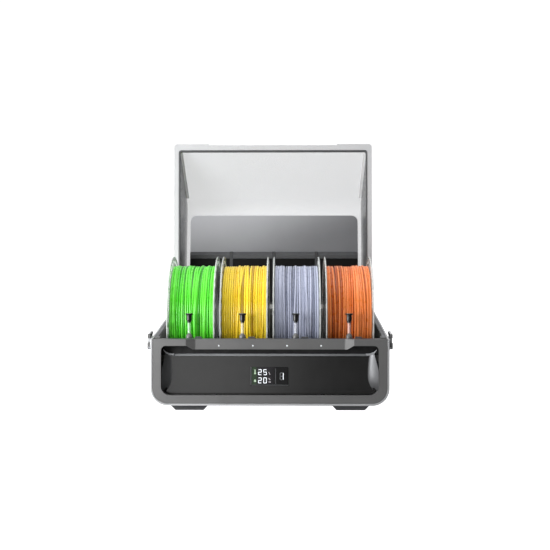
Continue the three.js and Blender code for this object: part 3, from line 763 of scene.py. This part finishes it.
outer_shell()
front_bezel()
front_panel()
rim = dress("tray_rim", rim_grey, 0.4)
rim.data.materials.append(wall_grey)
for face in rim.data.polygons:
    if abs(face.normal.z) < 0.5:
        face.material_index = 1
rim_gasket()
fan_grille()
socket_pins()
screws("rear_screws", [(x, DEPTH, z) for x in (-168, 168) for z in (34, 128)], "y", 1)
screws("base_screws", [(x, y, BASE) for x in (-150, 150) for y in (40, 262)], "z", -1, 3.2)
dress("display_board", circuit_board)
dress("status_light_guide", light_guide)
dress("bay_tray", dark_grey, 0.5)
dress("rear_tray", dark_grey, 0.5)
dress("rear_cover", satin_grey, 0.5)
dress("rear_socket", black_plastic, 0.4)
dress("control_board", circuit_board)
dress("fan_housing", black_plastic, 0.4)
dress("fan_rotor", dark_grey)
dress("heater_block", aluminium)
for corner in ("front_left", "front_right", "rear_left", "rear_right"):
    dress("foot_" + corner, foot_rubber, 0.8)
for name, side in (("left", -1), ("right", 1)):
    dress("hinge_pin_" + name, steel, 0.3)
    latch(name, side)


# ---- display ----
# Each digit's strokes: a top, b and c right, d bottom, e and f left, g middle.
STROKES = {
    "a": ((0, 2), (1, 2)), "b": ((1, 1), (1, 2)), "c": ((1, 0), (1, 1)), "d": ((0, 0), (1, 0)),
    "e": ((0, 0), (0, 1)), "f": ((0, 1), (0, 2)), "g": ((0, 1), (1, 1)),
}
DIGITS = {"0": "abcdef", "1": "bc", "2": "abged", "5": "afgcd"}


def stroke(start, end, width):
    """A flat round-ended bar on the display's face, between two places (x, z)."""
    start, end = Vector(start), Vector(end)
    along = (end - start).normalized()
    side = Vector((-along.y, along.x)) * width / 2
    points = []
    for centre, turn in ((end, 0.0), (start, math.pi)):
        for k in range(7):
            angle = turn - math.pi / 2 + math.pi * k / 6
            points.append(centre + along * math.cos(angle) * width / 2 + side * math.sin(angle))
    face = SCREEN[1][0] - 0.12
    return prism("y", points, (face, face + 0.1))


def dot(centre, radius):
    face = SCREEN[1][0] - 0.12
    return rod("y", radius, (face, face + 0.1), centre, 20)


def digit(figure, left, low, width, height, weight):
    """The lit strokes and the unlit strokes of one figure."""
    lit, unlit = [], []
    for key, ends in STROKES.items():
        (x0, z0), (x1, z1) = [(left + a * width, low + b * height / 2) for a, b in ends]
        inset = weight * 0.35
        along = Vector((x1 - x0, z1 - z0)).normalized() * inset
        bar = stroke((x0 + along.x, z0 + along.y), (x1 - along.x, z1 - along.y), weight)
        (lit if key in DIGITS[figure] else unlit).append(bar)
    return lit, unlit


def display():
    dress("display_screen", screen_glass, 0.4)
    lit, unlit = [], []
    top, bottom = SCREEN[2][1], SCREEN[2][0]
    rows = [("25", top - 11.8), ("20", bottom + 3.8)]
    for figures, low in rows:
        for figure, left in zip(figures, (-17.9, -9.9)):
            on, off = digit(figure, left, low, 4.4, 8.0, 1.05)
            lit += on
            unlit += off
    on, off = digit("1", 15.8, bottom + 9.0, 4.9, 10.6, 1.2)
    lit += on
    unlit += off
    add_piece("digits_lit", merged(lit), digit_white, body="base")
    add_piece("digits_unlit", merged(unlit), digit_ghost, body="base")
    divider = stroke((8.6, bottom + 2.4), (8.6, top - 2.4), 1.1)
    add_piece("display_divider", divider, mark_grey, body="base")
    high = top - 7.2
    thermometer = [stroke((-23.3, high - 2.2), (-23.3, high + 3.0), 1.5), dot((-23.3, high - 2.4), 1.5)]
    low = bottom + 6.4
    drop = prism("y", rounded([(-25.2, low + 0.2, 1.0), (-23.3, low - 2.0, 1.6), (-21.4, low + 0.2, 1.0),
                               (-23.3, low + 3.6, 0.3)]), (SCREEN[1][0] - 0.12, SCREEN[1][0] - 0.02))
    add_piece("display_icons", merged(thermometer + [drop]), icon_green, body="base")
    units = [dot((-1.8, top - 8.0), 0.6), stroke((-0.9, top - 9.4), (-0.2, top - 11.4), 0.8)]
    units += [dot((-1.9, bottom + 10.9), 0.6), dot((0.1, bottom + 8.9), 0.6)]
    units += [stroke((-1.7, bottom + 8.7), (-0.1, bottom + 11.1), 0.6)]
    units += [stroke((-2.0, bottom + 5.4), (1.0, bottom + 5.2), 1.1)]
    add_piece("display_units", merged(units), mark_pale, body="base")
    face = (SCREEN[1][0] - 0.5, SCREEN[1][0] + 1.5)
    x0, x1 = SCREEN[0]
    edge = [block((x0 - 0.2, x0 + 1.9), face, (bottom - 0.2, top + 0.2)),
            block((x0 - 0.2, x1 + 0.2), face, (bottom - 0.2, bottom + 1.1))]
    add_piece("display_edge", merged(edge), screen_edge, body="base", bevel=0.3)


display()


# ---- reels ----
def reel_mesh():
    """Two flanges with a ring of oval slots near the rim, on a hollow barrel."""
    outer, inner, rim = REEL_HALF, REEL_HALF - FLANGE, REEL_RADIUS
    hollow = BARREL - BARREL_WALL
    profile = [
        (BORE, -outer), (BORE + 6, -outer), (BORE + 6.4, -outer + 0.4), (rim - 3.4, -outer + 0.4),
        (rim - 3, -outer), (rim - 0.7, -outer), (rim, -outer + 0.7), (rim, -inner - 0.7),
        (rim - 0.7, -inner), (BARREL, -inner), (BARREL, inner), (rim - 0.7, inner),
        (rim, inner + 0.7), (rim, outer - 0.7), (rim - 0.7, outer), (rim - 3, outer),
        (rim - 3.4, outer - 0.4), (BORE + 6.4, outer - 0.4), (BORE + 6, outer), (BORE, outer),
        (BORE, inner), (hollow, inner), (hollow, -inner), (BORE, -inner),
    ]
    slots = []
    for k in range(30):
        spin = Matrix.Rotation(2 * math.pi * k / 30, 2)
        oval = [spin @ point for point in rectangle((88.6, 93.6), (-5.6, 5.6), 2.4)]
        slots.append(prism("x", oval, (-outer - 1, outer + 1)))
    return carved(spun("x", profile, (0, 0, 0), 120, True), [merged(slots)])


def strand_ring(mesh, tones, tone, path, thickness, sides=10):
    """One closed strand: a round tube along a loop of (place, radius, angle), its tone on each vertex."""
    rings = []
    for place, radius, angle in path:
        out = Vector((0, math.cos(angle), math.sin(angle)))
        ring = []
        for k in range(sides):
            turn = 2 * math.pi * k / sides
            along = Vector((place + thickness * math.sin(turn), 0, 0))
            vertex = mesh.verts.new(out * (radius + thickness * math.cos(turn)) + along)
            vertex[tones] = tone
            ring.append(vertex)
        rings.append(ring)
    for one, two in zip(rings, rings[1:] + rings[:1]):
        for k in range(sides):
            n = (k + 1) % sides
            mesh.faces.new((one[k], one[n], two[n], two[k]))


def waves(chance, size):
    """A slow wandering along the reel as a function of the angle round it."""
    parts = [(n, chance.uniform(-size, size) / n, chance.uniform(0, 2 * math.pi)) for n in (1, 2, 3)]
    return lambda angle: sum(reach * math.sin(n * angle + phase) for n, reach, phase in parts)


def winding(number):
    """The visible turns of filament: side by side in wandering bunches, with some laid across."""
    chance = random.Random(40 + number)
    half = WINDING_HALF
    thickness = 1.75
    limit = half - thickness
    count = int(half / thickness)
    steps = 120
    angles = [2 * math.pi * k / steps for k in range(steps)]
    mesh = bmesh.new()
    tones = mesh.verts.layers.float.new("tone")
    bunch, left_in_bunch, lift = None, 0, 0.0
    for i in range(count):
        if left_in_bunch == 0:
            bunch, left_in_bunch = waves(chance, 1.3), chance.randint(2, 4)
            lift = chance.choice((0.0, 0.5, 1.0))
        left_in_bunch -= 1
        middle = -limit + 2 * limit * i / (count - 1)
        own = waves(chance, 0.15)
        tone = chance.choice((0.15, 0.5, 0.7, 0.85, 1.0))
        path = []
        for angle in angles:
            place = max(-limit, min(limit, middle + bunch(angle) + own(angle)))
            path.append((place, WINDING_RADIUS - thickness - 1.1 + lift, angle))
        strand_ring(mesh, tones, tone, path, thickness)
    for _ in range(4):
        start = chance.uniform(-0.85, 0.85) * half
        drift = chance.choice((-1, 1)) * chance.uniform(2.0, 7.0)
        phase = chance.uniform(0, 2 * math.pi)
        path = []
        for angle in angles:
            place = max(-limit, min(limit, start + drift * math.sin(angle + phase)))
            path.append((place, WINDING_RADIUS - thickness + 0.5, angle))
        strand_ring(mesh, tones, chance.uniform(0.55, 1.0), path, thickness)
    # The core under the strands keeps tone 0, the darkest colour: painted shade in the gaps between strands.
    inner, outer = BARREL + GAP, WINDING_RADIUS - 3.4
    profile = [(inner, -half), (outer, -half), (outer, half), (inner, half)]
    core = spun("x", profile, (0, 0, 0), 96, True)
    scratch = bpy.data.meshes.new("scratch")
    core.to_mesh(scratch)
    mesh.from_mesh(scratch)
    mesh.transform(Matrix.Translation((BAY_X[number - 1], REEL_Y, REEL_Z)))
    add_piece(f"strands_{number}", mesh, FILAMENTS[number - 1], f"winding_{number}")


def inlet(number):
    """The feed unit behind the bezel, its round neck, and the short tube that leads up to a cap."""
    x = FEED_X[number - 1]
    low, high = extent(f"inlet_cap_{number}")[2]
    profile = [
        (0, low), (2.9, low), (3.2, low + 0.3), (3.2, low + 2.0), (4.1, low + 3.0), (4.4, low + 3.4),
        (4.4, low + 11.6), (4.9, low + 12.1), (5.8, low + 12.3), (6.0, low + 12.6), (6.0, high - 0.4),
        (5.6, high), (2.2, high), (1.6, high - 0.5), (1.6, high - 3), (0, high - 3),
    ]
    add_piece(f"cap_{number}", spun("z", profile, (x, FEED_Y, 0), 40), cap_black, f"inlet_cap_{number}")
    low, high = extent(f"inlet_tube_{number}")[2]
    tube = spun("z", [(2.0, low), (2.6, low), (2.6, high), (2.0, high)], (x, FEED_Y, 0), 32, True)
    add_piece(f"tube_{number}", tube, clear_tube, f"inlet_tube_{number}")
    core = spun("z", [(0, low), (1.8, low), (1.8, high), (0, high)], (x, FEED_Y, 0), 24)
    layer = core.verts.layers.float.new("tone")
    for vertex in core.verts:
        vertex[layer] = 0.8
    add_piece(f"tube_filament_{number}", core, FILAMENTS[number - 1], body="base")
    span = extent(f"feeder_housing_{number}")
    case = block(span[0], span[1], (span[2][0], FEED_TOP - 1.4))
    add_piece(f"feeder_{number}", case, satin_grey, f"feeder_housing_{number}", bevel=0.8)
    neck = [(5.2, FEED_TOP - 2.5), (5.2, FEED_TOP + 2.2), (4.95, FEED_TOP + 3.4), (4.6, FEED_TOP + 4.6),
            (3.6, FEED_TOP + 6.4), (3.0, FEED_TOP + 7.5), (2.8, FEED_TOP + 7.9), (0, FEED_TOP + 7.9)]
    add_piece(f"neck_{number}", spun("z", neck, (x, FEED_Y, 0), 40), satin_grey, body="base")
    cover = rectangle((x + 9, x + 20), (FEED_TOP - 2.5, FEED_TOP + 2.8), 0, 1.6)
    bump = prism("y", cover, (span[1][0], 36))
    add_piece(f"sensor_cover_{number}", bump, box_grey, body="base", bevel=0.3)


def roller(name):
    """A shaft with two rubber tyres, each with three grooves; the shaft, steel on the real thing, is drawn in
    the tyres' rubber.
    """
    span = extent(name)
    end = (span[0][1] - span[0][0]) / 2
    radius = (span[2][1] - span[2][0]) / 2
    outer, inner = end - 1.5, end - 9.2
    profile = [(0, -end), (3.7, -end), (4, -end + 0.3), (4, -outer)]
    profile += [(radius - 0.6, -outer), (radius, -outer + 0.6)]
    for place in (-outer + 1.9, -outer + 3.8, -outer + 5.7):
        profile += [(radius, place - 0.4), (radius - 0.5, place), (radius, place + 0.4)]
    profile += [(radius, -inner - 0.6), (radius - 0.6, -inner), (5, -inner), (5, 0)]
    profile += [(r, -p) for r, p in reversed(profile[:-1])]
    centre = [sum(pair) / 2 for pair in span]
    add_piece(name + "_turned", spun("x", profile, centre, 48), rubber, name)


reel = reel_mesh()
for number, x in enumerate(BAY_X, 1):
    one = reel.copy()
    one.transform(Matrix.Translation((x, REEL_Y, REEL_Z)))
    add_piece(f"reel_{number}", one, clear_reel, f"spool_{number}")
    winding(number)
    inlet(number)
    roller(f"roller_front_{number}")
    roller(f"roller_rear_{number}")


# ---- lid ----
def lid_profile(inset):
    shift = inset * 1.1
    return rounded([
        (LID_FRONT + shift, 100), (LID_FRONT + shift, 118.5 - inset * 0.1),
        (77 + shift, LID_TOP - inset, 32 - inset), (LID_REAR - inset, LID_TOP - inset, 15 - inset),
        (LID_REAR - inset, 100),
    ], 5.0)


def rounded_ends(mesh, half, radius):
    """The prism along x with the edges of its two end faces rounded."""
    ends = [edge for edge in mesh.edges if all(abs(abs(v.co.x) - half) < 0.01 for v in edge.verts)
            and edge.verts[0].co.x * edge.verts[1].co.x > 0]
    bmesh.ops.bevel(
        mesh, geom=ends, offset=radius, segments=5, profile=0.5, affect="EDGES", clamp_overlap=True,
    )
    return mesh


def lid_window():
    outer = rounded_ends(prism("x", lid_profile(0), (-LID_SIDE, LID_SIDE)), LID_SIDE, 4.0)
    half = LID_SIDE - LID_WALL - 0.5
    inner = rounded_ends(prism("x", lid_profile(LID_WALL), (-half, half)), half, 6.0)
    shell = carved(outer, [inner, below_rim(LID_FRAME_HEIGHT + GAP)])
    piece = add_piece("lid_shell", shell, lid_clear, "lid_window", lid=True)
    piece.data.materials.append(lid_side_painted_shade)
    piece.data.materials.append(lid_edge_painted_highlight)
    # Faces turned sideways take the painted-shade copy; the corners between walls and roof take the
    # painted-highlight copy.
    for face in piece.data.polygons:
        across = abs(face.normal.x)
        if across > 0.97:
            face.material_index = 1
        elif across > 0.1:
            face.material_index = 2


lid_window()
dress("lid_frame", lid_white, 0.7)
dress("lid_seal", seal_grey, 0.3)
# The lid's top panel carries the painted glow.
dress("lid_top_panel", lid_inner, 0.3)
dress("desiccant_tray", dark_grey, 0.5)
for number in range(1, len(BAY_X) + 1):
    made = dress(f"desiccant_box_{number}", box_grey, 0.8)
    made.data.materials.append(box_black)
    for face in made.data.polygons:
        if face.normal.y < -0.95:
            face.material_index = 1
tabs = [block((x - 3.2, x + 3.2), (181.5, 288), (248, 262)) for x in (-84, 0, 84)]
add_piece("box_tabs", merged(tabs), dark_grey, body="lid", bevel=0.6, lid=True)
ridge = block((-165.5, 165.5), (188.3, 195.5), (248.4, 249.4))
add_piece("box_ridge", ridge, box_grey, body="lid", bevel=0.3, lid=True)


# ---- floor, light and camera ----
def studio_world():
    """A white room that lights the box from above, below, behind and the left. To the right it is dim,
    and in front it is dark but for a bright upright band left of the middle."""
    world = bpy.data.worlds.new("studio")
    world.use_nodes = True
    nodes, links = world.node_tree.nodes, world.node_tree.links
    place = nodes.new("ShaderNodeTexCoord")
    split = nodes.new("ShaderNodeSeparateXYZ")
    links.new(place.outputs["Generated"], split.inputs["Vector"])
    across = ranged(nodes, links, split.outputs["X"], (-1.0, 1.0), (0.0, 1.0))
    across.interpolation_type = "LINEAR"
    grey = [(0.08, 0.08, 0.08, 1), (1.5, 1.5, 1.5, 1), (1.3, 1.3, 1.3, 1), (0.08, 0.08, 0.08, 1)]
    front = ramp(nodes, links, across.outputs["Result"], list(zip((0.28, 0.4, 0.475, 0.515), grey)))
    sides = [(1.1, 1.1, 1.1, 1), (1, 1, 1, 1), (0.2, 0.2, 0.2, 1), (0.12, 0.12, 0.12, 1)]
    around = ramp(nodes, links, across.outputs["Result"], list(zip((0.1, 0.64, 0.8, 0.95), sides)))
    level = ranged(nodes, links, split.outputs["Y"], (-0.35, 0.15), (0.0, 1.0))
    links.new(around.outputs["Color"], level.inputs["To Max"])
    links.new(front.outputs["Color"], level.inputs["To Min"])
    path = nodes.new("ShaderNodeLightPath")
    seen = ranged(nodes, links, path.outputs["Is Camera Ray"], (0.0, 1.0), (0.0, 1.05))
    links.new(level.outputs["Result"], seen.inputs["To Min"])
    background = nodes["Background"]
    background.inputs["Color"].default_value = (1, 1, 1, 1)
    links.new(seen.outputs["Result"], background.inputs["Strength"])
    return world


def studio():
    scene = bpy.context.scene
    scene.view_settings.view_transform = "Standard"
    scene.world = studio_world()
    mesh = bmesh.new()
    corners = [mesh.verts.new((x, y, 0)) for x, y in ((-9, -9), (9, -9), (9, 9), (-9, 9))]
    mesh.faces.new(corners)
    floor = object_from("floor", mesh)
    floor.data.materials.append(glowing("floor_paper", "ffffff", 1.2))
    floor.visible_diffuse = False
    floor.visible_glossy = False
    floor.visible_shadow = False
    lights = [
        ("key", (-0.55, -0.55, 0.2), (0, -0.2, 0.08), 0.4, 5.4),
        ("top", (0, -0.35, 1.4), (0, -0.1, 0.2), 1.2, 12.0),
    ]
    for name, place, target, size, power in lights:
        data = bpy.data.lights.new(name, "AREA")
        data.energy = power
        data.size = size
        lamp = bpy.data.objects.new(name, data)
        lamp.location = place
        aim = Vector(target) - Vector(place)
        lamp.rotation_euler = aim.to_track_quat("-Z", "Y").to_euler()
        scene.collection.objects.link(lamp)


def camera():
    """At the height of the lid, a little right of the middle, turned slightly left and down."""
    data = bpy.data.cameras.new("camera")
    data.lens = 64.0
    data.sensor_width = 36.0
    made = bpy.data.objects.new("camera", data)
    made.location = TO_FRAME @ Vector((28, -1507, 218))
    aim = Vector((-math.sin(math.radians(0.76)), 1, -math.sin(math.radians(0.3))))
    made.rotation_euler = aim.to_track_quat("-Z", "Y").to_euler()
    bpy.context.scene.collection.objects.link(made)
    bpy.context.scene.camera = made


studio()
camera()

bpy.context.view_layer.update()
